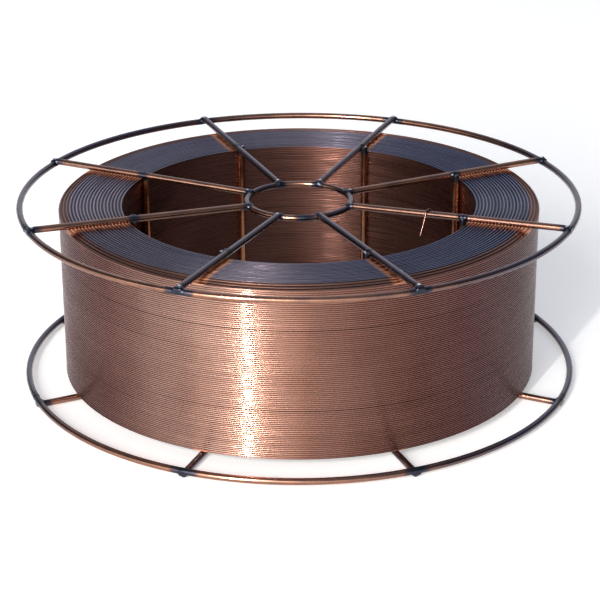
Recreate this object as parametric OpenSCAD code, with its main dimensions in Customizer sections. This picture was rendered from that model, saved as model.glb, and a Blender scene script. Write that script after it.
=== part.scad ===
// Wire basket spool of copper coated welding wire, lying on one flange.
// Two welded wire flanges stand one above the other. Each is a rim ring and a hub
// ring with eight spokes across their outer faces. Eight upright posts join the two
// sets of spokes, and the wound wire lies around the posts, between the spokes.
// The origin is the middle of the underside, where the lower spokes rest.
// +Z is the spool's axis. Azimuths turn from +X towards +Y. All sizes are millimetres.

/* [Basket] */
// Outside diameter of the rim rings
basket_d = 300; // [270:1:340]
// Width over both sets of spokes, which is the height as the spool lies
basket_w = 101; // [80:1:130]
// Outside diameter of the hub rings
hub_ring_d = 59.2; // [54:0.2:70]
// How far the spokes lean inwards, from the rim ring to the hub ring
flange_dish = 3.4; // [0:0.1:6]
// Azimuth of the first spoke, degrees
spoke_turn = 22.5; // [0:0.5:45]
// How far each spoke stops short of the rim ring's outer edge
spoke_short = 1.0; // [0.2:0.1:2]
// How far outside the hub ring's middle line each spoke ends
spoke_lap = 0.8; // [0:0.1:1.2]
// How far each spoke's axis stands outside the rim ring's middle line
rim_step = 1.5; // [1:0.1:3]
// How far each spoke's axis stands outside the hub ring's middle line
hub_step = 0.8; // [0.5:0.1:3]
// How far each post reaches past the middle line of its spokes
post_reach = 0.6; // [0.2:0.1:1]

/* [Basket wires] */
// Diameter of the rim rings' wire
rim_wire_d = 3.5; // [3:0.1:5]
// Diameter of the hub rings' wire
hub_wire_d = 3.3; // [2.6:0.1:4.4]
// Diameter of the spokes' wire
spoke_wire_d = 3.5; // [3:0.1:4.6]
// Diameter of the posts' wire
post_wire_d = 3.5; // [3:0.1:4.6]
// How far a post and a spoke are pressed into each other where they are welded
weld_sink = 1.0; // [0.2:0.1:1.4]

/* [Wound wire] */
// Room between the winding's outside and the inner side of the rim rings
rim_room = 18.5; // [10:0.5:24]
// Depth of the winding, from its outside to its bore
wind_depth = 33.5; // [16:0.5:38]
// Diameter of the welding wire
weld_wire_d = 1.0; // [0.8:0.1:1.6]
// Gap between the winding and the upper spokes
coil_gap = 0.4; // [0.2:0.1:3]
// Width of the sloping shoulder at the winding's outer edge
shoulder_w = 5; // [2:0.5:10]
// How far the shoulder drops at the upper end
shoulder_drop = 2.2; // [0.5:0.1:5]
// How far the shoulder drops at the lower end
shoulder_drop_low = 0.5; // [0.2:0.1:3]

/* [Loose end] */
// How far in from the bore the loose end is bent over its spoke
tail_in = 21.9; // [14:0.1:26]
// How far beside that spoke's middle line the loose end leaves the bore
tail_beside = 6; // [5:0.1:8]
// How far the loose end hangs below the middle of that spoke
tail_hang = 11; // [6:0.5:30]
// Clearance between the loose end and the spoke that it is bent over
tail_clear = 0.1; // [0.1:0.1:0.6]

/* [Hidden] */
$fn = 96;

copper = [0.72, 0.45, 0.34];
copper_dark = [0.55, 0.36, 0.30];
copper_wound = [0.62, 0.38, 0.28];

rim_wire_r = rim_wire_d / 2;
hub_wire_r = hub_wire_d / 2;
spoke_r = spoke_wire_d / 2;
post_r = post_wire_d / 2;
weld_wire_r = weld_wire_d / 2;

// Middle radii of the rings, and where the spokes begin and end
rim_mid_r = basket_d / 2 - rim_wire_r;
hub_mid_r = hub_ring_d / 2 - hub_wire_r;
spoke_out_r = basket_d / 2 - spoke_short;
spoke_in_r = hub_mid_r + spoke_lap;
spoke_count = 8;
spoke_step = 360 / spoke_count;

// The spokes lean: the slope and length of one spoke
spoke_lean = atan(flange_dish / (spoke_out_r - spoke_in_r));
spoke_len = (spoke_out_r - spoke_in_r) / cos(spoke_lean);
spoke_half = spoke_r / cos(spoke_lean);

// Heights of the middle lines. The lower flange is the upper one turned over.
spoke_low_z = spoke_r * cos(spoke_lean);
rim_low_z = spoke_low_z + rim_step;
rim_high_z = basket_w - rim_low_z;
hub_low_z = spoke_low_z + flange_dish + hub_step;
hub_high_z = basket_w - hub_low_z;

// The height of a lower spoke's middle line at radius r
function spoke_z(r) = spoke_low_z + (spoke_out_r - r) * tan(spoke_lean);

// The winding lies on the lower spokes, and its end faces lean as they do
coil_outer_r = basket_d / 2 - rim_wire_d - rim_room;
coil_inner_r = coil_outer_r - wind_depth;
function coil_low_z(r) = spoke_z(r) + spoke_half;
function coil_high_z(r) = basket_w - spoke_z(r) - spoke_half - coil_gap;

// On an end face every second layer stands out, half a turn higher than the next
ridge_pitch = weld_wire_d * sqrt(3);
ridge_count = floor((coil_outer_r - coil_inner_r) / ridge_pitch);
ridge_step = (coil_outer_r - coil_inner_r - weld_wire_d) / (ridge_count - 1);
edge_r = coil_outer_r - shoulder_w;

// A post touches the clockwise side of its spokes and stands just inside the winding
post_side = spoke_r + post_r - weld_sink;
post_clear = 0.05;
post_axis_r = coil_inner_r - post_r - post_clear;
post_along = sqrt(post_axis_r * post_axis_r - post_side * post_side);
post_low_z = spoke_z(post_along) - post_reach;
post_high_z = basket_w - post_low_z;

// The loose end's corners round its wire
tail_sides = 8;

// A ring of round wire around the axis, at height z
module wire_ring(mid_r, wire_r, z) {
  translate([0, 0, z])
    rotate_extrude()
      translate([mid_r, 0])
        circle(r = wire_r);
}

// One lower spoke before its welds: a straight wire along +X that rises inwards
module leaning_wire() {
  translate([spoke_out_r, 0, spoke_low_z])
    rotate([0, spoke_lean - 90, 0])
      cylinder(h = spoke_len, r = spoke_r);
}

// One spoke lies across the outer faces of both rings, which press a saddle into it
module spoke(number) {
  color(copper)
    difference() {
      rotate([0, 0, spoke_turn + (number - 1) * spoke_step])
        leaning_wire();
      wire_ring(rim_mid_r, rim_wire_r, rim_low_z);
      wire_ring(hub_mid_r, hub_wire_r, hub_low_z);
    }
}

// The lower flange's shapes, turned over to stand at the upper flange
module turned_over() {
  translate([0, 0, basket_w])
    mirror([0, 0, 1])
      children();
}

// One post stands beside its spokes, which press a saddle into each of its ends
module post(number) {
  color(copper_dark)
    rotate([0, 0, spoke_turn + (number - 1) * spoke_step])
      difference() {
        translate([post_along, -post_side, post_low_z])
          cylinder(h = post_high_z - post_low_z, r = post_r);
        leaning_wire();
        turned_over() leaning_wire();
      }
}

// How far an end face drops at radius r: nothing, then the shoulder's slope
function end_drop(r, drop) = drop * max(0, r - edge_r) / shoulder_w;

// The height of the turns' middles on the lower and the upper end face
function low_turn_z(r) = coil_low_z(r) + weld_wire_r + end_drop(r, shoulder_drop_low);
function high_turn_z(r) = coil_high_z(r) - weld_wire_r - end_drop(r, shoulder_drop);

// Half of the winding's section. The ridges are the outstanding turns of each end.
module coil_section() {
  union() {
    polygon([
      [coil_inner_r, low_turn_z(coil_inner_r)], [edge_r, low_turn_z(edge_r)],
      [coil_outer_r, low_turn_z(coil_outer_r)], [coil_outer_r, high_turn_z(coil_outer_r)],
      [edge_r, high_turn_z(edge_r)], [coil_inner_r, high_turn_z(coil_inner_r)]
    ]);
    for (i = [0 : ridge_count - 1]) {
      r = coil_inner_r + weld_wire_r + i * ridge_step;
      translate([r, low_turn_z(r)])
        circle(r = weld_wire_r);
      translate([r, high_turn_z(r)])
        circle(r = weld_wire_r);
    }
  }
}

module rim_ring_top() { color(copper) wire_ring(rim_mid_r, rim_wire_r, rim_high_z); }
module rim_ring_bottom() { color(copper) wire_ring(rim_mid_r, rim_wire_r, rim_low_z); }
module hub_ring_top() { color(copper) wire_ring(hub_mid_r, hub_wire_r, hub_high_z); }
module hub_ring_bottom() { color(copper) wire_ring(hub_mid_r, hub_wire_r, hub_low_z); }

module spoke_top(number) { turned_over() spoke(number); }
module spoke_bottom(number) { spoke(number); }

module wire_coil() {
  color(copper_wound)
    rotate_extrude()
      coil_section();
}

// The loose end's points. x runs outwards along the spoke that it crosses, y across it
// and z up from that spoke's middle line. It comes out of the bore wall, runs along the
// spoke's far side, goes over it and hangs down.
tail_spoke_turn = spoke_turn - spoke_step;
tail_over = spoke_r + weld_wire_r + tail_clear;
tail_sunk = 0.02;
tail_wall = sqrt(coil_inner_r * coil_inner_r - tail_beside * tail_beside) - tail_sunk;
tail_cross_r = coil_inner_r - tail_in;
tail_z = basket_w - spoke_z(tail_cross_r);
tail_points = [
  [tail_wall, tail_beside, -4.4],
  [tail_wall - 1.6, tail_beside - 0.1, -4.3],
  [tail_wall - 4, tail_beside - 0.6, -3.6],
  [(tail_wall + tail_cross_r) / 2, tail_beside - 1.8, -1.8],
  [tail_cross_r + 5, 3.2, -0.3],
  [tail_cross_r + 2.4, tail_over, 0.7],
  [tail_cross_r + 1.2, tail_over * 0.72, tail_over * 0.78],
  [tail_cross_r + 0.4, 0, tail_over * 1.06],
  [tail_cross_r, -tail_over * 0.78, tail_over * 0.8],
  [tail_cross_r - 0.2, -tail_over * 1.15, 0],
  [tail_cross_r - 0.8, -tail_over * 1.9, -tail_hang * 0.45],
  [tail_cross_r - 1.6, -tail_over * 2.9, -tail_hang]
];

function unit(v) = v / norm(v);

// The direction of a line of points at point i
function heading(p, i) =
  unit(p[min(i + 1, len(p) - 1)] - p[max(i - 1, 0)]);

// A side direction carried along the line, square to it at every point
function sideways(p, i) =
  let (
    t = heading(p, i),
    before = i == 0 ? [0, 0, 1] : sideways(p, i - 1)
  )
  unit(before - (before * t) * t);

// Round wire swept along points, as rings of tail_sides corners joined one to the next
module wire_along(points, wire_r) {
  rings = len(points);
  corners = [
    for (i = [0 : rings - 1])
      let (t = heading(points, i), u = sideways(points, i), v = cross(t, u))
        for (k = [0 : tail_sides - 1])
          points[i] + wire_r * (cos(k * 360 / tail_sides) * u + sin(k * 360 / tail_sides) * v)
  ];
  sides = [
    for (i = [0 : rings - 2])
      for (k = [0 : tail_sides - 1])
        let (a = i * tail_sides, b = a + tail_sides, n = (k + 1) % tail_sides)
          [a + k, b + k, b + n, a + n]
  ];
  first = [for (k = [0 : tail_sides - 1]) k];
  last = [for (k = [tail_sides - 1 : -1 : 0]) (rings - 1) * tail_sides + k];
  polyhedron(points = corners, faces = concat(sides, [first], [last]), convexity = 4);
}

module wire_tail() {
  color(copper_wound)
    rotate([0, 0, tail_spoke_turn])
      translate([0, 0, tail_z])
        wire_along(tail_points, weld_wire_r);
}

rim_ring_top();
rim_ring_bottom();
hub_ring_top();
hub_ring_bottom();
spoke_top(1);  // spoke_top_1
spoke_top(2);  // spoke_top_2
spoke_top(3);  // spoke_top_3
spoke_top(4);  // spoke_top_4
spoke_top(5);  // spoke_top_5
spoke_top(6);  // spoke_top_6
spoke_top(7);  // spoke_top_7
spoke_top(8);  // spoke_top_8
spoke_bottom(1);  // spoke_bottom_1
spoke_bottom(2);  // spoke_bottom_2
spoke_bottom(3);  // spoke_bottom_3
spoke_bottom(4);  // spoke_bottom_4
spoke_bottom(5);  // spoke_bottom_5
spoke_bottom(6);  // spoke_bottom_6
spoke_bottom(7);  // spoke_bottom_7
spoke_bottom(8);  // spoke_bottom_8
post(1);  // post_1
post(2);  // post_2
post(3);  // post_3
post(4);  // post_4
post(5);  // post_5
post(6);  // post_6
post(7);  // post_7
post(8);  // post_8
wire_coil();
wire_tail();
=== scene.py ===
"""Looks of a wire basket spool of copper coated welding wire, lying on one flange.

All sizes are millimetres, as on a drawing of the spool, until put_mesh turns them into
scene units. The basket's wires and the winding are surfaces computed as whole arrays,
and each docstring gives its surface in words.
"""

import bpy
import numpy as np
from mathutils import Matrix


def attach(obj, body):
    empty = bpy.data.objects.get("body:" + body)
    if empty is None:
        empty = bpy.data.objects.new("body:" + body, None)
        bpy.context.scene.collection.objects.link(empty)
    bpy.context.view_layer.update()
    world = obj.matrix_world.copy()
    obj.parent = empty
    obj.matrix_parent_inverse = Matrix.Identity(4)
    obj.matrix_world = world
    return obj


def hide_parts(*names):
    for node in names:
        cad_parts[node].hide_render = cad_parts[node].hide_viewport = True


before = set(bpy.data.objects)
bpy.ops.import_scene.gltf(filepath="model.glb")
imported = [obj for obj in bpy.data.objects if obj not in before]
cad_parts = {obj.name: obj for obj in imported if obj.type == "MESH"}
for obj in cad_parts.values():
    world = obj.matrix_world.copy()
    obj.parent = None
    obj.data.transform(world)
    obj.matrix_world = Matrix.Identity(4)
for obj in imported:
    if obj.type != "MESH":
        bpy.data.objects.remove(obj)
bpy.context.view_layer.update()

MM = 0.001

# sizes of the spool

BASKET_D = 300.0
BASKET_W = 101.0
HUB_RING_D = 59.2
FLANGE_DISH = 3.4
SPOKE_TURN = 22.5
SPOKE_COUNT = 8
SPOKE_SHORT = 1.0
SPOKE_LAP = 0.8
RIM_STEP = 1.5
HUB_STEP = 0.8
POST_REACH = 0.6
POST_CLEAR = 0.05
RIM_WIRE_R = 1.75
HUB_WIRE_R = 1.65
SPOKE_R = 1.75
POST_R = 1.75
WELD_SINK = 1.0
RIM_ROOM = 18.5
WIND_DEPTH = 33.5
WELD_WIRE_R = 0.5
COIL_GAP = 0.4
SHOULDER_W = 5.0
SHOULDER_DROP = 2.2
SHOULDER_DROP_LOW = 0.5
TAIL_IN = 21.9
TAIL_BESIDE = 6.0
TAIL_HANG = 11.0
TAIL_CLEAR = 0.1
TAIL_SUNK = 0.02

# heights and radii

RIM_MID_R = BASKET_D / 2 - RIM_WIRE_R
HUB_MID_R = HUB_RING_D / 2 - HUB_WIRE_R
SPOKE_OUT_R = BASKET_D / 2 - SPOKE_SHORT
SPOKE_IN_R = HUB_MID_R + SPOKE_LAP
LEAN = np.arctan(FLANGE_DISH / (SPOKE_OUT_R - SPOKE_IN_R))
SPOKE_LOW_Z = SPOKE_R * np.cos(LEAN)
RIM_LOW_Z = SPOKE_LOW_Z + RIM_STEP
HUB_LOW_Z = SPOKE_LOW_Z + FLANGE_DISH + HUB_STEP
SPOKE_STEP = 360.0 / SPOKE_COUNT
SPOKE_AZIMUTHS = np.radians(SPOKE_TURN + SPOKE_STEP * np.arange(SPOKE_COUNT))
COIL_OUTER_R = BASKET_D / 2 - 2 * RIM_WIRE_R - RIM_ROOM
COIL_INNER_R = COIL_OUTER_R - WIND_DEPTH
TAIL_CROSS_R = COIL_INNER_R - TAIL_IN


def spoke_z(r):
    """Height of a lower spoke's middle line at radius r: a straight lean inwards."""
    return SPOKE_LOW_Z + (SPOKE_OUT_R - r) * np.tan(LEAN)


def flange_z(z, top):
    """The height z in the lower flange, or its mirror in the upper flange."""
    return BASKET_W - z if top else z


POST_SIDE = SPOKE_R + POST_R - WELD_SINK
POST_ALONG = np.sqrt((COIL_INNER_R - POST_R - POST_CLEAR) ** 2 - POST_SIDE ** 2)
POST_LOW_Z = spoke_z(POST_ALONG) - POST_REACH
TAIL_Z = BASKET_W - spoke_z(TAIL_CROSS_R)

# fineness of the surfaces: points round a wire, steps round a ring, and the winding

WIRE_SIDES = 24
TAIL_SIDES = 14
RIM_STEPS = 1400
HUB_STEPS = 360
WINDING_STEPS = 120
WINDING_POINTS = 99500

# the winding's turns are numbered from these on each of its four sides

OUTSIDE, UPPER_END, BORE, LOWER_END = 1000, 2000, 3000, 4000

# the sockets of a Mix node that mixes colours, and its settings to blend or to tint

SHARE, FIRST, SECOND, MIXED = 0, 6, 7, 2
BLEND = {"data_type": "RGBA"}
TINT = {"data_type": "RGBA", "blend_type": "MULTIPLY"}


# small tools

def linear(code):
    """A six digit sRGB colour as linear light, by the standard's own curve."""
    v = np.array([int(code[i:i + 2], 16) for i in (0, 2, 4)]) / 255
    v = np.where(v <= 0.04045, v / 12.92, ((v + 0.055) / 1.055) ** 2.4)
    return (*v.tolist(), 1.0)


def unit(v):
    """Vectors along the last axis, scaled to length one."""
    return v / np.linalg.norm(v, axis=-1, keepdims=True)


def put_mesh(name, points_mm, quads, caps=(), marks=None):
    """A smooth shaded object from points in millimetres, quads and end faces.

    marks holds one number per point for each named attribute.
    """
    mesh = bpy.data.meshes.new(name)
    faces = np.asarray(quads, dtype=np.int64).tolist() + [list(c) for c in caps]
    mesh.from_pydata((points_mm * MM).tolist(), [], faces)
    mesh.update()
    mesh.polygons.foreach_set("use_smooth", np.ones(len(mesh.polygons), dtype=bool))
    for mark, values in (marks or {}).items():
        mesh.attributes.new(mark, "FLOAT", "POINT").data.foreach_set(
            "value", np.asarray(values, dtype=np.float32))
    thing = bpy.data.objects.new(name, mesh)
    bpy.context.scene.collection.objects.link(thing)
    return thing


def grid_quads(rows, sides, closed):
    """Faces of a grid that is closed round its sides, and also end to end if closed."""
    i, j = np.meshgrid(np.arange(rows if closed else rows - 1), np.arange(sides),
                       indexing="ij")
    ni, nj = (i + 1) % rows, (j + 1) % sides
    return np.stack([i * sides + j, ni * sides + j, ni * sides + nj, i * sides + nj],
                    -1).reshape(-1, 4)


def swell(p, scale, seed):
    """Smooth bumps between -1 and 1: the product of three slow waves through space."""
    k = np.array([[1.0, 0.37, -0.52], [-0.43, 1.1, 0.31], [0.28, -0.61, 0.95]])
    w = p @ k.T / scale + seed * np.array([1.7, 2.9, 4.3])
    return np.sin(w[..., 0]) * np.sin(w[..., 1]) * np.sin(w[..., 2])


# wires and their welds

def line_gap(p, a, b, r):
    """Distance from points to the surface of a round wire between a and b."""
    ab = b - a
    t = np.clip(((p - a) @ ab) / (ab @ ab), 0.0, 1.0)
    return np.linalg.norm(p - a - t[..., None] * ab, axis=-1) - r


def ring_gap(p, mid_r, z, r):
    """Distance from points to the surface of a ring of round wire."""
    out = np.hypot(p[..., 0], p[..., 1]) - mid_r
    return np.hypot(out, p[..., 2] - z) - r


def weld_fillet(gap, height=0.75, width=0.55):
    """Metal pressed up beside a weld: highest at the other wire, gone a width away."""
    return height * np.exp(-(np.maximum(gap, 0.0) / width) ** 1.5)


def wire_surface(middle, side, up, radius, gaps, joints, seam=None):
    """A wire along a middle line, with its weld fillets.

    Point (i, j) is middle[i] + R * (cos a * side[i] + sin a * up[i]) with a the j-th
    angle round the wire. R is the wire's radius, plus a fillet wherever another wire's
    surface is near, plus a faint waviness left by straightening. With the points
    comes the mark scorch, which is 1 at a weld and falls off to a ragged edge.
    """
    a = np.linspace(0, 2 * np.pi, WIRE_SIDES, endpoint=False)
    round_dir = (np.cos(a)[None, :, None] * side[:, None, :]
                 + np.sin(a)[None, :, None] * up[:, None, :])
    skin = middle[:, None, :] + radius[:, None, None] * round_dir
    grow = np.zeros(skin.shape[:2])
    for gap in gaps:
        grow = np.maximum(grow, weld_fillet(gap(skin)))
    # a fillet is uneven by a quarter, and the wire wavy by 0.02 mm
    grow *= 1.0 + 0.25 * swell(skin, 0.9, 3.0)
    grow += 0.02 * swell(skin, 3.0, 1.0)
    if seam is not None:
        grow += seam(skin)
    points = skin + grow[..., None] * round_dir
    scorch = np.zeros(skin.shape[:2])
    for place, reach in joints:
        far = np.linalg.norm(skin - place, axis=-1)
        far = far * (1.0 + 0.22 * swell(skin, 2.2, 7.0))
        scorch = np.maximum(scorch, np.exp(-(far / reach) ** 2.4))
    return points, scorch


def end_caps(rows, sides):
    """The two end faces of an open wire, turned outwards."""
    first = list(range(sides))
    last = list(range((rows - 1) * sides, rows * sides))
    return [first, last[::-1]]


def finish_wire(name, points, scorch, bare, painted_slate, closed):
    """The wire's mesh with its marks.

    bare is 1 where the coat is burnt right off. The slate share is 0 on bright copper
    and 1 on slate, which is a painted reflection.
    """
    rows, sides = points.shape[:2]
    caps = () if closed else end_caps(rows, sides)
    return put_mesh(name, points.reshape(-1, 3), grid_quads(rows, sides, closed), caps,
                    {"scorch": scorch.ravel(), "bare": bare.ravel(),
                     "painted_slate": np.broadcast_to(painted_slate, scorch.shape).ravel()})


def spoke_line(k, top):
    """Both ends of spoke k's middle line, outer end first."""
    c, s = np.cos(SPOKE_AZIMUTHS[k]), np.sin(SPOKE_AZIMUTHS[k])
    return [np.array([r * c, r * s, flange_z(spoke_z(r), top)])
            for r in (SPOKE_OUT_R, SPOKE_IN_R)]


def post_line(k):
    """Both ends of post k's middle line, which stands clockwise beside spoke k."""
    c, s = np.cos(SPOKE_AZIMUTHS[k]), np.sin(SPOKE_AZIMUTHS[k])
    foot = np.array([POST_ALONG * c + POST_SIDE * s, POST_ALONG * s - POST_SIDE * c, 0])
    return foot + [0, 0, POST_LOW_Z], foot + [0, 0, BASKET_W - POST_LOW_Z]


def ring_joint(k, mid_r, z):
    """Where spoke k is welded to the ring of radius mid_r at height z."""
    c, s = np.cos(SPOKE_AZIMUTHS[k]), np.sin(SPOKE_AZIMUTHS[k])
    return np.array([mid_r * c, mid_r * s, z])


def ring_angles(count):
    """Angles round a ring, crowded towards its welds by a gentle sine."""
    crowd = 0.72
    u = np.linspace(0, 2 * np.pi, count, endpoint=False)
    return u - crowd / SPOKE_COUNT * np.sin(SPOKE_COUNT * (u - SPOKE_AZIMUTHS[0]))


def wire_ring(name, mid_r, wire_r, z, top, count, reach, seam_at):
    """A ring: its middle line is a circle, joined to itself by a butt weld.

    The butt weld is a low collar, and beside it lie the shallow marks of the clamps
    that held the two ends. reach is how far a spoke's weld has scorched the ring.
    """
    seam_reach = 4.2
    collar_height, collar_width = 0.22, 0.35
    clamp_deep, clamp_at, clamp_half, clamp_teeth = 0.07, 2.1, 0.9, 9.0
    u = ring_angles(count)
    out = np.stack([np.cos(u), np.sin(u), np.zeros_like(u)], -1)
    middle = mid_r * out + [0, 0, z]
    up = np.broadcast_to([0.0, 0.0, 1.0], middle.shape)
    gaps, joints = [], []
    for k in range(SPOKE_COUNT):
        a, b = spoke_line(k, top)
        gaps.append(lambda p, a=a, b=b: line_gap(p, a, b, SPOKE_R))
        joints.append((ring_joint(k, mid_r, z), reach))
    seam_dir = np.array([np.cos(seam_at), np.sin(seam_at), 0.0])
    along = np.array([-np.sin(seam_at), np.cos(seam_at), 0.0])
    joints.append((mid_r * seam_dir + [0, 0, z], seam_reach))

    def seam(p):
        """The butt weld's collar, and the clamps' toothed marks on either side of it."""
        s = p @ along
        collar = collar_height * np.exp(-(s / collar_width) ** 2)
        clamped = np.abs(np.abs(s) - clamp_at) < clamp_half
        clamp = -clamp_deep * clamped * (np.cos(s * clamp_teeth) > 0.2)
        return np.where(p @ seam_dir > 0, collar + clamp, 0.0)

    points, scorch = wire_surface(middle, out, up, np.full(count, wire_r), gaps, joints,
                                seam)
    # the ring's outer side stays inside its true outside diameter
    outer_r = mid_r + wire_r
    r = np.hypot(points[..., 0], points[..., 1])
    points[..., :2] *= (outer_r / np.maximum(r, outer_r))[..., None]
    # painted reflection: the ring is painted slate over an arc at its left and one at its
    # right
    slate_at, slate_half = np.radians([160.0, 348.0]), np.radians(52.0)
    away = np.abs(np.angle(np.exp(1j * (u[:, None] - slate_at))))
    painted_slate = 0.28 + 0.52 * np.exp(-(away / slate_half) ** 4).sum(axis=1)
    return finish_wire(name, points, scorch, np.zeros_like(scorch), painted_slate[:, None], True)


def straight_steps(length, welds):
    """Distances along a straight wire, closer together near its welds."""
    fine, coarse, near = 0.35, 1.4, 5.0
    s, steps = 0.0, [0.0]
    while s < length:
        s += fine if min(abs(s - w) for w in welds) < near else coarse
        steps.append(s)
    steps = np.array(steps)
    return steps * length / steps[-1]


def straight_wire(name, a, b, wire_r, gaps, joints, welds, bare_at, painted_slate):
    """A straight cut wire: its middle line runs from a to b and both ends are sheared,
    with edges rounded over half a millimetre.
    """
    rounding = 0.5
    edge_at = np.array([0, 0, 0.06, 0.2, 0.4])
    edge_share = np.array([0.35, 0.8, 0.9, 0.97, 1.0])
    length = np.linalg.norm(b - a)
    d = (b - a) / length
    s = straight_steps(length, welds)
    s = s[(s > rounding) & (s < length - rounding)]
    radius = wire_r * np.concatenate([edge_share, np.ones(len(s)), edge_share[::-1]])
    s = np.concatenate([edge_at, s, length - edge_at[::-1]])
    middle = a + s[:, None] * d
    side = unit(np.cross(d, [0.0, 0.0, 1.0] if abs(d[2]) < 0.9 else [1.0, 0.0, 0.0]))
    up = np.cross(side, d)
    side = np.broadcast_to(side, middle.shape)
    up = np.broadcast_to(up, middle.shape)
    points, scorch = wire_surface(middle, side, up, radius, gaps, joints)
    bare = np.zeros_like(scorch)
    for place, reach in bare_at:
        bare = np.maximum(bare, np.exp(-(np.linalg.norm(points - place, axis=-1)
                                         / reach) ** 2))
    # nothing of the basket reaches past the planes that its spokes lie in
    points[..., 2] = np.clip(points[..., 2], 0.0, BASKET_W)
    return finish_wire(name, points, scorch, bare, painted_slate, False)


def make_spoke(k, top):
    """Spoke k of one flange, welded to the rim ring, the hub ring and its post."""
    rim_reach, hub_reach, post_reach = 5.0, 3.8, 2.8
    a, b = spoke_line(k, top)
    length = np.linalg.norm(b - a)
    d = (b - a) / length
    pa, pb = post_line(k)
    post_at = SPOKE_OUT_R - POST_ALONG
    rim_z, hub_z = flange_z(RIM_LOW_Z, top), flange_z(HUB_LOW_Z, top)
    gaps = [lambda p: ring_gap(p, RIM_MID_R, rim_z, RIM_WIRE_R),
            lambda p: ring_gap(p, HUB_MID_R, hub_z, HUB_WIRE_R),
            lambda p: line_gap(p, pa, pb, POST_R)]
    joints = [(ring_joint(k, RIM_MID_R, rim_z), rim_reach),
              (ring_joint(k, HUB_MID_R, hub_z), hub_reach), (a + post_at * d, post_reach)]
    # the coat is burnt off on the outside of both ends, where the electrodes pressed
    outside = np.array([0, 0, 1.2 if top else -1.2])
    bare_at = [(a + 1.6 * d + outside, 1.5), (b - 1.2 * d + outside, 1.2)]
    # painted reflection: spokes that point to the front or the back are painted slate, and
    # those to the sides brown
    painted_slate = 0.25 + 0.58 * np.sin(SPOKE_AZIMUTHS[k]) ** 2
    return straight_wire("spoke_%s_wire_%d" % ("top" if top else "bottom", k + 1), a, b,
                         SPOKE_R, gaps, joints, (0.5, post_at, length - 0.5), bare_at,
                         painted_slate)


def make_post(k):
    """Post k, welded beside the two spokes that it joins."""
    weld_reach, bare_reach = 3.4, 1.3
    a, b = post_line(k)
    ends = [spoke_line(k, False), spoke_line(k, True)]
    gaps = [lambda p, e=e: line_gap(p, e[0], e[1], SPOKE_R) for e in ends]
    length = np.linalg.norm(b - a)
    joints = [(a + [0, 0, POST_REACH], weld_reach), (b - [0, 0, POST_REACH], weld_reach)]
    return straight_wire("post_wire_%d" % (k + 1), a, b, POST_R, gaps, joints,
                         (POST_REACH, length - POST_REACH),
                         [(b, bare_reach), (a, bare_reach)], 0.0)


# the winding

def coil_profile():
    """The winding's outline in its half section, once round.

    Each row is (radius, height, turn, groove, end, shoulder, tilt). The outside and the
    bore are rows of arcs, one for each turn, and tilt is how far up an arc faces there.
    On the ends every second layer stands out, so those arcs are further apart, with a
    deep valley between them. The end faces lean as the spokes do, and the outer 5 mm
    slope away as a shoulder. groove is 0 on a turn's crest and 1 in the depth beside
    it, end is 1 on the end faces, and shoulder is 1 on the sloping part of them.
    """
    half = SPOKE_R / np.cos(LEAN)
    edge = COIL_OUTER_R - SHOULDER_W
    depth = COIL_OUTER_R - COIL_INNER_R
    w = WELD_WIRE_R

    def low(r):
        """Height of the lower end face, which lies on the lower spokes."""
        return spoke_z(r) + half + SHOULDER_DROP_LOW * np.maximum(0, r - edge) / SHOULDER_W

    def high(r):
        """Height of the upper end face, just below the upper spokes."""
        return (BASKET_W - spoke_z(r) - half - COIL_GAP
                - SHOULDER_DROP * np.maximum(0, r - edge) / SHOULDER_W)

    def wall(r0, outwards, arc, first):
        """Turns stacked up the wall at radius r0, bulging outwards or into the bore."""
        margin, spacing = 0.3, 1.03
        z0, z1 = low(r0) + margin, high(r0) - margin
        count = int((z1 - z0) / (2 * w * spacing))
        step = (z1 - z0) / count
        i, a = np.meshgrid(np.arange(count), np.radians(arc), indexing="ij")
        r = r0 - outwards * w * (1 - np.cos(a))
        z = z0 + (i + 0.5) * step + 0.5 * step * np.sin(a)
        deep = 0.4 * np.abs(a) / np.radians(arc[-1])
        return np.stack([r, z, i + first, deep, 0 * a, 0 * a, a], -1).reshape(-1, 7)

    def end(height, up, first):
        """Turns side by side across an end face, from the outside in."""
        spread, valley_half = 1.12, 0.13
        count = int(depth / (2 * w * np.sqrt(3)))
        wide = (depth - 2 * w) / (count - 1)
        arc = np.radians([-84.0, -48.0, 0.0, 48.0, 84.0])
        across = np.concatenate([spread * w * np.sin(arc)[::-1],
                                 [0.5 * wide - valley_half, 0.5 * wide + valley_half]])
        drop = np.concatenate([w * (1 - np.cos(arc)), [1.3 * w, 1.3 * w]])
        deep = np.array([0.75, 0.1, 0.0, 0.1, 0.75, 1.0, 1.0])
        i, k = np.meshgrid(np.arange(count), np.arange(len(deep)), indexing="ij")
        r = COIL_OUTER_R - w - i * wide - across[k]
        z = height(r) - up * drop[k]
        outer = np.clip((r - edge + 1.0) / 2.0, 0, 1)
        rows = np.stack([r, z, i + first, deep[k] * (1 - 0.45 * outer), 1 + 0 * r, outer,
                         0 * r], -1).reshape(-1, 7)
        # the innermost turn has no valley beside it
        return rows[:-2]

    outside = wall(COIL_OUTER_R, 1, (-46.0, -16.0, 16.0, 46.0), OUTSIDE)
    upper = end(high, 1, UPPER_END)
    bore = wall(COIL_INNER_R, -1, (-46.0, 0.0, 46.0), BORE)[::-1]
    lower = end(low, -1, LOWER_END)[::-1]
    return np.concatenate([outside, upper, bore, lower])


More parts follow.
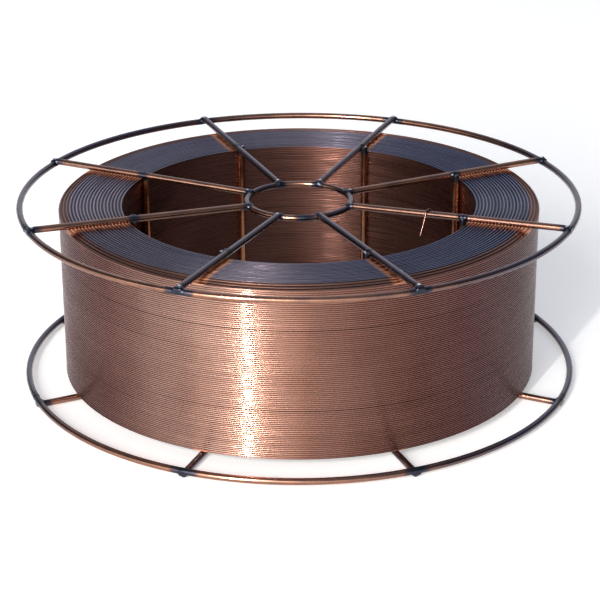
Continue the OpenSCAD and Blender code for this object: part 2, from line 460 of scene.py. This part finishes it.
def make_coil():
    """The winding: its profile turned round the axis.

    Point (i, j) is the profile's point i turned by the j-th angle. Each turn lies a
    hundredth of a millimetre or two deeper than the next, by a slow wave of its own
    round the axis, as wire does that was laid under a changing pull. A few turns were
    laid with a gap beside them, which the material darkens with painted shade, a dark
    line that comes and goes.
    """
    profile = coil_profile()
    turn = profile[:, 2]
    rng = np.random.default_rng(11)
    _, index = np.unique(turn, return_inverse=True)
    count = index.max() + 1
    steps = min(WINDING_STEPS, int(WINDING_POINTS / len(profile)))
    t = np.linspace(0, 2 * np.pi, steps, endpoint=False)
    wave = np.zeros((count, steps))
    for n in (1, 2, 3, 5):
        wave += rng.normal(0, 1, (count, 1)) / n * np.sin(
            n * t + rng.uniform(0, 2 * np.pi, (count, 1)))
    sunk = np.minimum(0.008 * wave + rng.normal(-0.02, 0.008, (count, 1)), 0)[index]
    on_end = profile[:, 4, None] > 0.5
    outwards = np.where(turn < UPPER_END, 1.0, -1.0)[:, None]
    upwards = np.where(turn < BORE, 1.0, -1.0)[:, None]
    r = profile[:, 0, None] + np.where(on_end, 0.0, outwards * sunk)
    z = profile[:, 1, None] + np.where(on_end, upwards * sunk, 0.0)
    # the shoulder is worn down at the front, and at the back the end is nearly flat
    whole = 0.85 * (0.5 + 0.5 * np.sin(t)) ** 0.8
    edge = COIL_OUTER_R - SHOULDER_W
    on_shoulder = np.clip((profile[:, 0, None] - edge) / SHOULDER_W, 0, 1)
    # the wall below is drawn up with it, from 24 mm to 8 mm under the basket's top
    below = np.clip((profile[:, 1, None] - BASKET_W + 24.0) / 16.0, 0, 1)
    slope = np.where(on_end, on_shoulder, np.where(turn[:, None] < UPPER_END, below, 0))
    z = z + np.where(turn[:, None] < BORE, SHOULDER_DROP * slope * whole, 0)
    points = np.stack([r * np.cos(t), r * np.sin(t), z], -1)
    gappy = (rng.uniform(0, 1, count) < 0.05)[:, None] * np.clip(
        0.6 + 0.7 * np.sin(t + rng.uniform(0, 2 * np.pi, (count, 1))), 0, 1)
    # the painted shade of a gap goes on the last point of its turn, where the next turn
    # begins
    last = np.append(turn[1:] != turn[:-1], True)[:, None]
    deep = profile[:, 3, None] * (1.0 + np.where(on_end, 0.3, 1.6 * last) * gappy[index])
    tone = rng.uniform(0, 1, count)[index, None] + 0 * deep
    ones = np.ones(steps)
    quads = grid_quads(len(profile), steps, True)[:, ::-1]
    coil = put_mesh("wound_wire_coil", points.reshape(-1, 3), quads, (), {
        "tone": tone.ravel(), "groove": deep.ravel(),
        "end_face": (profile[:, 4, None] * ones).ravel(),
        "shoulder": (profile[:, 5, None] * ones).ravel(),
        "bore": (((turn >= BORE) & (turn < LOWER_END))[:, None] * ones).ravel()})
    # the walls shade as true arcs; on the ends, zero keeps the mesh's own normals
    tilt = profile[:, 6, None] + 0 * t
    facing = np.stack([outwards * np.cos(tilt) * np.cos(t),
                       outwards * np.cos(tilt) * np.sin(t), np.sin(tilt)], -1)
    facing = facing * ~on_end[..., None]
    coil.data.normals_split_custom_set_from_vertices(facing.reshape(-1, 3).tolist())
    return coil


def smooth_path(points, per_span):
    """A Catmull-Rom curve through points, sampled per_span times between each two."""
    p = np.concatenate([[2 * points[0] - points[1]], points, [2 * points[-1] - points[-2]]])
    t = (np.arange(per_span) / per_span)[:, None]
    spans = []
    for i in range(len(points) - 1):
        a, b, c, d = p[i:i + 4]
        spans.append(0.5 * (2 * b + (c - a) * t + (2 * a - 5 * b + 4 * c - d) * t ** 2
                            + (3 * b - a - 3 * c + d) * t ** 3))
    return np.concatenate(spans + [points[-1:]])


def make_tail():
    """The loose end: a thin round wire swept along a curve from the bore over a spoke."""
    over = SPOKE_R + WELD_WIRE_R + TAIL_CLEAR
    wall = np.sqrt(COIL_INNER_R ** 2 - TAIL_BESIDE ** 2) - TAIL_SUNK
    x = TAIL_CROSS_R
    route = np.array([
        [wall, TAIL_BESIDE, -4.4], [wall - 1.6, TAIL_BESIDE - 0.1, -4.3],
        [wall - 4, TAIL_BESIDE - 0.6, -3.6], [(wall + x) / 2, TAIL_BESIDE - 1.8, -1.8],
        [x + 5, 3.2, -0.3], [x + 2.4, over, 0.7],
        [x + 1.2, over * 0.72, over * 0.78], [x + 0.4, 0, over * 1.06],
        [x, -over * 0.78, over * 0.8], [x - 0.2, -over * 1.15, 0],
        [x - 0.8, -over * 1.9, -TAIL_HANG * 0.45], [x - 1.6, -over * 2.9, -TAIL_HANG]])
    turn = SPOKE_AZIMUTHS[0] - np.radians(SPOKE_STEP)
    c, s = np.cos(turn), np.sin(turn)
    route = np.stack([route[:, 0] * c - route[:, 1] * s, route[:, 0] * s + route[:, 1] * c,
                      route[:, 2] + TAIL_Z], -1)
    middle = smooth_path(route, 8)
    t = unit(np.gradient(middle, axis=0))
    side = unit(np.cross(t, [0.3, 0.5, 0.81]))
    up = np.cross(side, t)
    a = np.linspace(0, 2 * np.pi, TAIL_SIDES, endpoint=False)
    radius = np.full(len(middle), WELD_WIRE_R)
    radius[-1] *= 0.7
    points = middle[:, None] + radius[:, None, None] * (
        np.cos(a)[None, :, None] * side[:, None] + np.sin(a)[None, :, None] * up[:, None])
    rows, sides = points.shape[:2]
    return put_mesh("loose_wire_end", points.reshape(-1, 3), grid_quads(rows, sides, False),
                    end_caps(rows, sides), {"tone": np.full(rows * sides, 0.6)})


# materials

def add(nodes, kind, inputs=(), out=0, stops=(), **settings):
    """One node with its settings, values and links, and the output socket asked for.

    inputs gives an input by its name or number, as a value or another node's output.
    stops are a colour ramp's places, each with a hex colour or a number for grey.
    """
    node = nodes.new("ShaderNode" + kind)
    for key, value in settings.items():
        setattr(node, key, value)
    for key, value in dict(inputs).items():
        if isinstance(value, bpy.types.NodeSocket):
            node.id_data.links.new(value, node.inputs[key])
        else:
            node.inputs[key].default_value = value
    for n, (place, shade) in enumerate(stops):
        marks = node.color_ramp.elements
        if n == 0:
            marks.remove(marks[1])
            marks[0].position = place
        mark = marks.new(place) if n else marks[0]
        mark.color = linear(shade) if isinstance(shade, str) else (shade, shade, shade, 1.0)
    return node.outputs[out] if node.outputs else node


def new_material(name):
    """An empty material, its nodes, and the Object coordinates of the piece."""
    material = bpy.data.materials.new(name)
    material.use_nodes = True
    nodes = material.node_tree.nodes
    nodes.clear()
    return material, nodes, add(nodes, "TexCoord", out="Object")


def along_turns(nodes, place, slow, fast):
    """Coordinates that change slowly along the turns and quickly across them.

    x and y are scaled by slow, and the third is fast times the height plus the
    distance from the axis, so one vector serves the walls and the end faces.
    """
    flat = add(nodes, "VectorMath", {0: place, 1: (1, 1, 0)}, operation="MULTIPLY")
    out = add(nodes, "VectorMath", {0: flat}, "Value", operation="LENGTH")
    height = add(nodes, "SeparateXYZ", {0: place}, "Z")
    across = add(nodes, "CombineXYZ",
                 {"Z": add(nodes, "Math", {0: height, 1: out}, operation="ADD")})
    flat = add(nodes, "VectorMath", {0: flat, "Scale": slow}, operation="SCALE")
    return add(nodes, "VectorMath", {0: across, 1: (0, 0, fast), 2: flat},
               operation="MULTIPLY_ADD")


def beside_spokes(nodes, place, reach):
    """How far a point lies beside the nearest spoke's line, in plan: 1 at the reach.

    The azimuth is wrapped into half a spoke's step either way, and its sine times the
    distance from the axis is the distance from that spoke's line.
    """
    flat = add(nodes, "VectorMath", {0: place, 1: (1, 1, 0)}, operation="MULTIPLY")
    out = add(nodes, "VectorMath", {0: flat}, "Value", operation="LENGTH")
    turn = add(nodes, "Math", {0: add(nodes, "SeparateXYZ", {0: place}, "Y"),
                               1: add(nodes, "SeparateXYZ", {0: place}, "X")},
               operation="ARCTAN2")
    turn = add(nodes, "Math", {0: turn, 1: np.radians(SPOKE_TURN)}, operation="SUBTRACT")
    turn = add(nodes, "Math", {0: turn, 1: np.pi / SPOKE_COUNT, 2: -np.pi / SPOKE_COUNT},
               operation="WRAP")
    sine = add(nodes, "Math", {0: turn}, operation="SINE")
    away = add(nodes, "Math", {0: sine, 1: out}, operation="MULTIPLY")
    away = add(nodes, "Math", {0: away}, operation="ABSOLUTE")
    return add(nodes, "Math", {0: away, 1: reach}, operation="DIVIDE")


def basket_wire_material():
    """Drawn mild steel wire with a thin electroplated copper coat, resistance welded.

    The posts are a bright copper and the spokes and rings brown, varied in patches.
    Slate is painted over them as a painted reflection: on arcs at the rings' left and
    right, and on the spokes that point to the front or the back. At a weld the heat
    turns the coat brown, then violet grey, then blue black, and at the very ends of the
    spokes it is burnt off and the bright steel shows.
    """
    material, nodes, place = new_material("Copper coated basket wire, drawn and welded")
    painted_slate, scorch, bare = (add(nodes, "Attribute", out="Fac", attribute_name=name)
                             for name in ("painted_slate", "scorch", "bare"))
    # the coat varies in patches about 11 mm long, over the painted slate of the painted
    # reflection; the drawing grain, really a tenth of a millimetre long, is drawn 1.1 mm
    # long so that it shows
    patch = add(nodes, "TexNoise", {"Vector": place, "Scale": 1 / (11 * MM), "Detail": 5.0})
    grain = add(nodes, "TexNoise", {"Vector": place, "Scale": 1 / (1.1 * MM), "Detail": 3.0})
    patches_and_slate = add(nodes, "Math", {0: patch, 1: 0.5, 2: painted_slate}, operation="MULTIPLY_ADD")
    coat = add(nodes, "ValToRGB", {"Fac": patches_and_slate},
               stops=[(0.2, "DC9A70"), (0.35, "B4826A"), (0.55, "9C7462"), (0.8, "6E5A5A"),
                      (1.0, "625A64")])
    shade = add(nodes, "ValToRGB", {"Fac": grain}, stops=[(0.3, 0.55), (0.7, 1.0)])
    coat = add(nodes, "Mix", {SHARE: 0.35, FIRST: coat, SECOND: shade}, MIXED, **TINT)
    burnt = add(nodes, "ValToRGB", {"Fac": scorch},
                stops=[(0.0, "85604F"), (0.22, "5E4844"), (0.45, "4A4752"),
                       (0.72, "3C3E48"), (1.0, "363841")])
    welded = add(nodes, "ValToRGB", {"Fac": scorch}, stops=[(0.04, 0.0), (0.3, 1.0)])
    colour = add(nodes, "Mix", {SHARE: welded, FIRST: coat, SECOND: burnt},
                 MIXED, **BLEND)
    # specks of steel about 2.4 mm long
    speck = add(nodes, "TexNoise", {"Vector": place, "Scale": 1 / (2.4 * MM)})
    speck = add(nodes, "Math", {0: speck, 1: bare}, operation="MULTIPLY")
    steel = add(nodes, "ValToRGB", {"Fac": speck}, stops=[(0.22, 0.0), (0.32, 1.0)])
    colour = add(nodes, "Mix", {SHARE: steel, FIRST: colour, SECOND: linear("D5D7DC")},
                 MIXED, **BLEND)
    rough = add(nodes, "ValToRGB", {"Fac": patch}, stops=[(0.3, 0.27), (0.7, 0.15)])
    rough = add(nodes, "Mix", {SHARE: welded, FIRST: rough, SECOND: linear("969696")},
                MIXED, **BLEND)
    bump = add(nodes, "Bump", {"Height": grain, "Strength": 0.15, "Distance": 0.3 * MM})
    add(nodes, "OutputMaterial", {"Surface": add(nodes, "BsdfPrincipled", {
        "Base Color": colour, "Metallic": 1.0, "Roughness": rough, "Normal": bump})})
    return material


def wound_wire_material():
    """Bright drawn welding wire with a thin copper coat, wound in level layers.

    The bore is painted a darker, warm brown, which is painted shade. Outside, the colour
    is painted with the light: lighter round the shine at the front left, a painted glow,
    and darker towards the right, painted shade. Every turn has its own slight tone, and
    the depth between turns is darkened with painted shade. The end faces are painted
    slate violet, a painted reflection, and their sloping shoulder brown; beside the
    spokes their turns are painted as bright orange beads, also a painted reflection.
    Some turns are smoother than others, which gives the wall's shine its sharp core and
    its wide glow.
    """
    material, nodes, place = new_material(
        "Copper coated welding wire, bright drawn and layer wound")
    tone, groove, end_face, shoulder, bore = (
        add(nodes, "Attribute", out="Fac", attribute_name=name)
        for name in ("tone", "groove", "end_face", "shoulder", "bore"))
    # 0 at the winding's left side and 1 at its right
    across = add(nodes, "Math", {0: add(nodes, "SeparateXYZ", {0: place}, "X"),
                                 1: 0.5 / (COIL_OUTER_R * MM), 2: 0.5},
                 operation="MULTIPLY_ADD")
    # painted light on the outer wall: lighter round the shine at the front left, a painted
    # glow, and darker towards the right, painted shade
    coat = add(nodes, "ValToRGB", {"Fac": across},
               stops=[(0.0, "927876"), (0.12, "98706A"), (0.22, "B89488"), (0.3, "BE9A8C"),
                      (0.38, "AE8C7E"), (0.5, "A87E6E"), (0.7, "9C7166"), (0.82, "86615F"),
                      (1.0, "7C6C6E")])
    # painted reflection: the end faces are painted slate, bluer and darker towards the
    # right, and their sloping shoulder brown
    end_reflection = add(nodes, "ValToRGB", {"Fac": across},
                stops=[(0.0, "9A96A8"), (0.5, "7C7886"), (1.0, "727C9A")])
    end_reflection = add(nodes, "Mix", {SHARE: shoulder, FIRST: end_reflection, SECOND: linear("8E6A5E")},
                MIXED, **BLEND)
    coat = add(nodes, "Mix", {SHARE: end_face, FIRST: coat, SECOND: end_reflection}, MIXED, **BLEND)
    shade = add(nodes, "ValToRGB", {"Fac": tone}, stops=[(0.0, 0.8), (1.0, 1.0)])
    coat = add(nodes, "Mix", {SHARE: 0.4, FIRST: coat, SECOND: shade}, MIXED, **TINT)
    # streaks half a millimetre wide and some 70 mm long, where the pull stayed even
    streak = add(nodes, "TexNoise", {
        "Vector": along_turns(nodes, place, 1 / (70 * MM), 1 / (0.53 * MM)),
        "Scale": 1.0, "Detail": 2.0})
    shade = add(nodes, "ValToRGB", {"Fac": streak}, stops=[(0.35, 0.6), (0.55, 1.0)])
    coat = add(nodes, "Mix", {SHARE: 0.28, FIRST: coat, SECOND: shade}, MIXED, **TINT)
    # painted shade: the bore is painted one darker brown; its turns lay on a smooth former
    # and are more even
    coat = add(nodes, "Mix", {SHARE: bore, FIRST: coat, SECOND: linear("6E4E46")},
               MIXED, **BLEND)
    # patches about 36 mm long
    patch = add(nodes, "TexNoise", {"Vector": place, "Scale": 1 / (36 * MM), "Detail": 4.0})
    shade = add(nodes, "ValToRGB", {"Fac": patch}, stops=[(0.3, "C8B4AE"), (0.6, 1.0)])
    coat = add(nodes, "Mix", {SHARE: 0.4, FIRST: coat, SECOND: shade}, MIXED, **TINT)
    # painted shade: the depth between turns, and the gaps beside a few turns, are darkened
    groove_shade = add(nodes, "ValToRGB", {"Fac": groove},
               stops=[(0.1, 1.0), (0.42, "DDD0CA"), (0.75, "7A6A6A"), (1.0, "4A424A")])
    coat = add(nodes, "Mix", {SHARE: 1.0, FIRST: coat, SECOND: groove_shade}, MIXED, **TINT)
    # painted reflection: 5 mm to either side of each spoke, the end faces' turns are painted
    # as bright orange beads
    under = add(nodes, "ValToRGB", {"Fac": beside_spokes(nodes, place, 5 * MM)},
                stops=[(0.0, 1.0), (0.55, 0.9), (1.0, 0.0)])
    under = add(nodes, "Mix", {SHARE: 1.0, FIRST: under, SECOND: end_face}, MIXED, **TINT)
    bead_reflection = add(nodes, "ValToRGB", {"Fac": groove},
                stops=[(0.1, "FFBC90"), (0.6, "E4804E"), (1.0, "9A4A2C")])
    coat = add(nodes, "Mix", {SHARE: under, FIRST: coat, SECOND: bead_reflection}, MIXED, **BLEND)
    # a streak is smooth or dull: on the outer wall, then in the bore, then on the ends
    rough = add(nodes, "ValToRGB", {"Fac": streak}, stops=[(0.42, 0.26), (0.56, 0.11)])
    for where, dull, smooth in ((bore, 0.40, 0.24), (end_face, 0.42, 0.26)):
        there = add(nodes, "ValToRGB", {"Fac": streak},
                    stops=[(0.42, dull), (0.56, smooth)])
        rough = add(nodes, "Mix", {SHARE: where, FIRST: rough, SECOND: there},
                    MIXED, **BLEND)
    bump = add(nodes, "Bump", {"Height": streak, "Strength": 0.04, "Distance": 0.2 * MM})
    # a soap film dulls the wire at its edges, seen at a grazing angle
    add(nodes, "OutputMaterial", {"Surface": add(nodes, "BsdfPrincipled", {
        "Base Color": coat, "Metallic": 1.0, "Roughness": rough, "Normal": bump,
        "Specular Tint": linear("E6E2E2")})})
    return material


# camera and light

def set_camera():
    """A 117 mm lens 1.08 m away, 22 degrees above the level."""
    lens, sensor = 116.56, 36.0
    aside, distance, height = 0.0004, 0.9837, 0.4383
    pitch, roll = 0.3869, -0.0031
    ahead = np.array([0.0, np.cos(pitch), -np.sin(pitch)])
    right = np.array([1.0, 0.0, 0.0])
    above = np.cross(right, ahead)
    data = bpy.data.cameras.new("camera")
    data.lens, data.sensor_width = lens, sensor
    camera = bpy.data.objects.new("camera", data)
    m = np.eye(4)
    m[:3, 0] = right * np.cos(roll) + above * np.sin(roll)
    m[:3, 1] = -right * np.sin(roll) + above * np.cos(roll)
    m[:3, 2] = -ahead
    m[:3, 3] = (aside, -distance, height)
    camera.matrix_world = Matrix(m.tolist())
    bpy.context.scene.collection.objects.link(camera)
    bpy.context.scene.camera = camera


def add_lamp(name, place, target, size, watts, colour):
    """A rectangular lamp at place, size wide and high, turned to target."""
    data = bpy.data.lights.new(name, "AREA")
    data.energy, data.color, data.shape = watts, linear(colour)[:3], "RECTANGLE"
    data.size, data.size_y = size
    lamp = bpy.data.objects.new(name, data)
    place, target = np.array(place, float), np.array(target, float)
    back = unit(place - target)
    side = unit(np.cross([0.0, 0.0, 1.0], back))
    m = np.eye(4)
    m[:3, 0], m[:3, 1], m[:3, 2], m[:3, 3] = side, np.cross(back, side), back, place
    lamp.matrix_world = Matrix(m.tolist())
    bpy.context.scene.collection.objects.link(lamp)


def set_studio():
    """A white floor, a cool ceiling and dark side walls, lit from the front left."""
    world = bpy.data.worlds.new("studio")
    bpy.context.scene.world = world
    world.use_nodes = True
    nodes = world.node_tree.nodes
    nodes.clear()
    way = add(nodes, "TexCoord", out="Generated")
    height = add(nodes, "SeparateXYZ", {0: way}, "Z")
    room = add(nodes, "ValToRGB", {"Fac": height},
               stops=[(0.0, "E7E4E4"), (0.3, "E7EBF3"), (0.6, "DDE6F9"), (0.8, "C9D2E4"),
                      (1.0, "C4CCDF")])
    # 1 towards the lit wall and 0 away from it, by half a unit vector that points there
    facing = add(nodes, "VectorMath", {0: way, 1: (-0.227, -0.4455, 0.0)}, "Value",
                 operation="DOT_PRODUCT")
    facing = add(nodes, "Math", {0: facing, 1: 0.5}, operation="ADD")
    shade = add(nodes, "ValToRGB", {"Fac": facing},
                stops=[(0.0, 1.0), (0.28, 1.0), (0.45, 0.6), (0.8, 0.45), (1.0, 0.5)])
    room = add(nodes, "Mix", {SHARE: 1.0, FIRST: room, SECOND: shade}, MIXED, **TINT)
    # the walls to the left and right are dark
    aside = add(nodes, "Math", {0: add(nodes, "SeparateXYZ", {0: way}, "X")},
                operation="ABSOLUTE")
    shade = add(nodes, "ValToRGB", {"Fac": aside},
                stops=[(0.3, 1.0), (0.65, 0.3), (1.0, 0.15)])
    room = add(nodes, "Mix", {SHARE: 1.0, FIRST: room, SECOND: shade}, MIXED, **TINT)
    # the lit wall is bright only near the floor
    lit = add(nodes, "ValToRGB", {"Fac": facing},
              stops=[(0.55, 0.0), (0.78, 0.2), (0.92, 0.6), (1.0, "FFFAF4")])
    low = add(nodes, "ValToRGB", {"Fac": height}, stops=[(0.22, 1.0), (0.42, 0.0)])
    lit = add(nodes, "Mix", {SHARE: 1.0, FIRST: lit, SECOND: low}, MIXED, **TINT)
    light = add(nodes, "VectorMath", {0: lit, 1: (3.6, 3.6, 3.6), 2: room},
                operation="MULTIPLY_ADD")
    add(nodes, "OutputWorld", {"Surface": add(nodes, "Background", {"Color": light})})

    half = 6000.0
    floor = put_mesh("floor", np.array([[-half, -half, 0], [half, -half, 0],
                                        [half, half, 0], [-half, half, 0]]), [[0, 1, 2, 3]])
    material, nodes, _ = new_material("Matt white floor")
    matt = add(nodes, "BsdfPrincipled", {"Base Color": linear("F0EFEE"), "Roughness": 0.9,
                                         "Specular IOR Level": 0.1})
    # seen directly, in metal or through glass the floor is whiter than it lights
    seen = add(nodes, "LightPath", out="Is Camera Ray")
    for ray in ("Is Glossy Ray", "Is Transmission Ray"):
        seen = add(nodes, "Math", {0: seen, 1: add(nodes, "LightPath", out=ray)},
                   operation="ADD")
    seen = add(nodes, "Math", {0: seen, 1: 0.34}, operation="MULTIPLY")
    add(nodes, "OutputMaterial", {"Surface": add(nodes, "AddShader", {
        0: matt, 1: add(nodes, "Emission", {"Strength": seen})})})
    floor.data.materials.append(material)

    lamp_x, lamp_y = -1.66, -3.82
    add_lamp("strip", (lamp_x, lamp_y, 1.55), (0.0, 0.0, 0.9), (0.11, 3.0), 190.0, "FFFDF8")
    # three soft boxes of growing width, so that the shine fades out to both sides
    for wide, watts in ((1.3, 66.0), (2.5, 54.0), (4.0, 50.0)):
        add_lamp("soft box", (lamp_x, lamp_y, 2.0), (0.0, 0.0, 0.05), (wide, 2.4), watts,
                 "FFFCF7")


# build and dress

bpy.context.scene.view_settings.view_transform = "Standard"
set_camera()
basket = basket_wire_material()
wound = wound_wire_material()


def dress(piece, material, slot, *nodes):
    """Gives a piece its material and its body, and hides the node that it stands for."""
    piece.data.materials.append(material)
    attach(piece, "root")
    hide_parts(*nodes)


for level, top in (("top", True), ("bottom", False)):
    for ring, mid_r, wire_r, low_z, steps, reach, seam_at in (
            ("rim", RIM_MID_R, RIM_WIRE_R, RIM_LOW_Z, RIM_STEPS, 5.6, 200.0),
            ("hub", HUB_MID_R, HUB_WIRE_R, HUB_LOW_Z, HUB_STEPS, 3.1, -83.0)):
        dress(wire_ring("%s_wire_%s" % (ring, level), mid_r, wire_r, flange_z(low_z, top),
                        top, steps, reach, np.radians(seam_at)),
              basket, "copper_ring_wire", "%s_ring_%s" % (ring, level))
    for k in range(SPOKE_COUNT):
        dress(make_spoke(k, top), basket, "spoke_wire", "spoke_%s_%d" % (level, k + 1))
for k in range(SPOKE_COUNT):
    dress(make_post(k), basket, "post_wire", "post_%d" % (k + 1))
dress(make_coil(), wound, "wound_wire", "wire_coil")
dress(make_tail(), wound, "wound_wire", "wire_tail")
set_studio()
